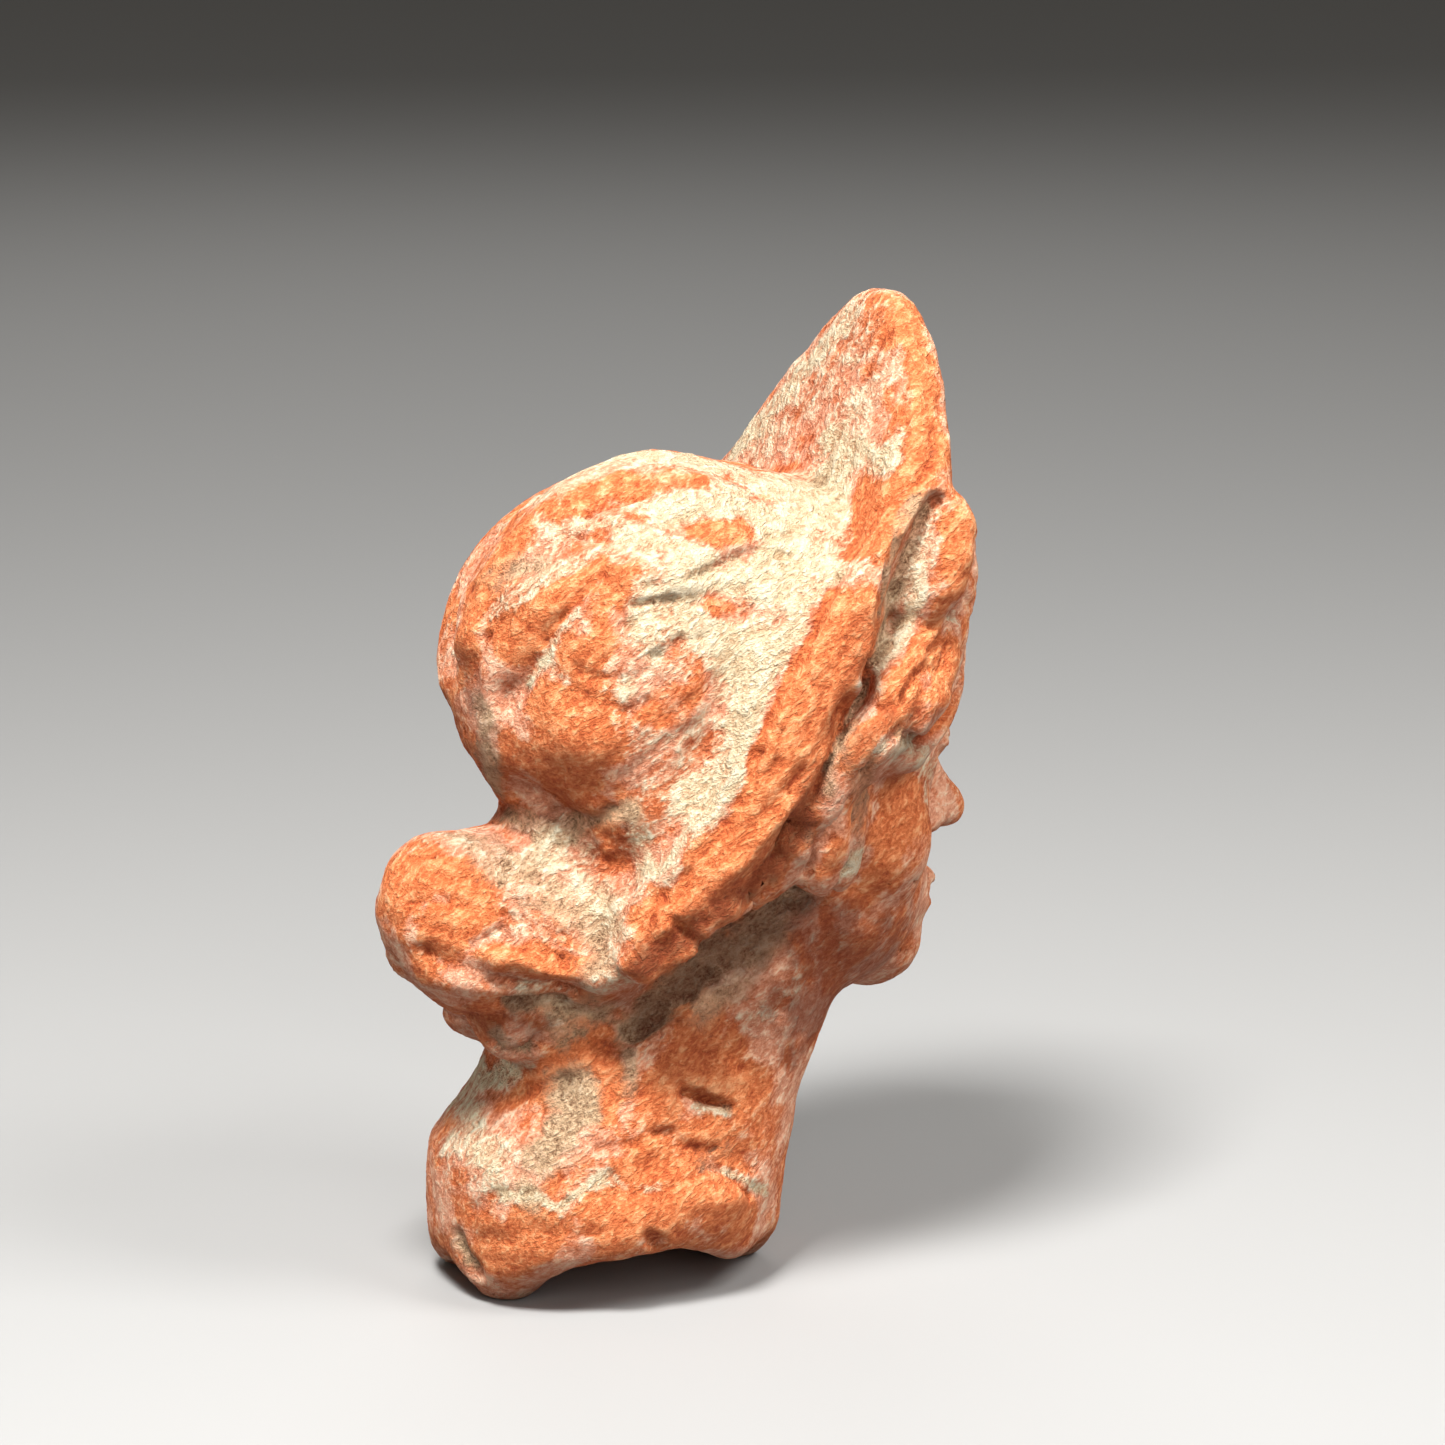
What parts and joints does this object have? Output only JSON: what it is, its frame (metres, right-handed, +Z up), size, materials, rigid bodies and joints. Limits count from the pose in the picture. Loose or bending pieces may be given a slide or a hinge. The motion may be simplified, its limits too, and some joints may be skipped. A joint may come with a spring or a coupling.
{
  "type": "terracotta head",
  "caption": "Small fired clay head of a woman with an upright pointed diadem and a knot of hair at the nape, broken off at the base of the neck, standing on its break.",
  "frame": {"origin": "on the ground under the middle of the head's bounding box", "axes": "+Z up to the tip of the diadem, the face looks along -Y, the head's own left is +X"},
  "size_m": [0.0372, 0.0536, 0.0805],
  "materials": {
    "fired_clay": "matt, weathered, with pale lime crust and grey soil in the hollows"
  },
  "bodies": {
    "root": {"terracotta_head": "fired_clay"}
  },
  "joints": []
}
